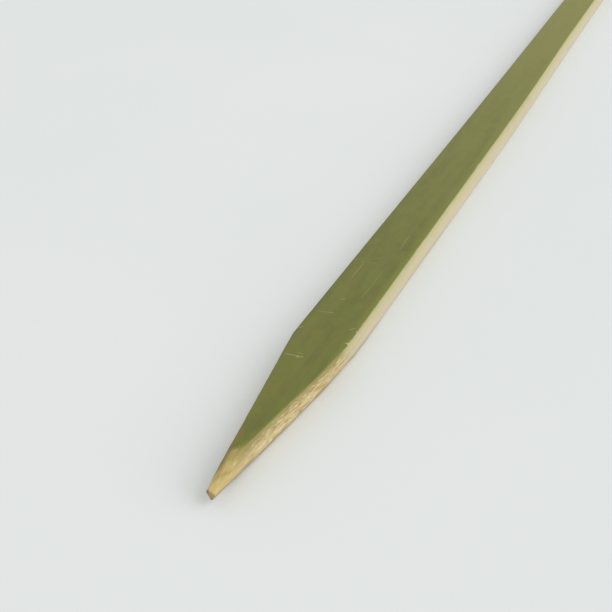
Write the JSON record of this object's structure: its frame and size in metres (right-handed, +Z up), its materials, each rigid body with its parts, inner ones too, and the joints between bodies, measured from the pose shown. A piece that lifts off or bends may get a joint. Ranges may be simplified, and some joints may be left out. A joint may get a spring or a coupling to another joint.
{
  "type": "bamboo skewer",
  "caption": "Flat bamboo skewer: a long strip of bamboo with green skin on its upper face, cut to a blunt point at one end to thread food on, and square at the other.",
  "frame": {"origin": "centre of the skewer's length and width, on the underside it lies on", "axes": "+X along the strip towards the point, +Y across the strip, +Z up out of the green skin face"},
  "size_m": [0.18, 0.005, 0.0025],
  "materials": {
    "bamboo": "planed bamboo with its green skin left on the upper face"
  },
  "bodies": {
    "root": {"skewer": "bamboo"}
  },
  "joints": []
}
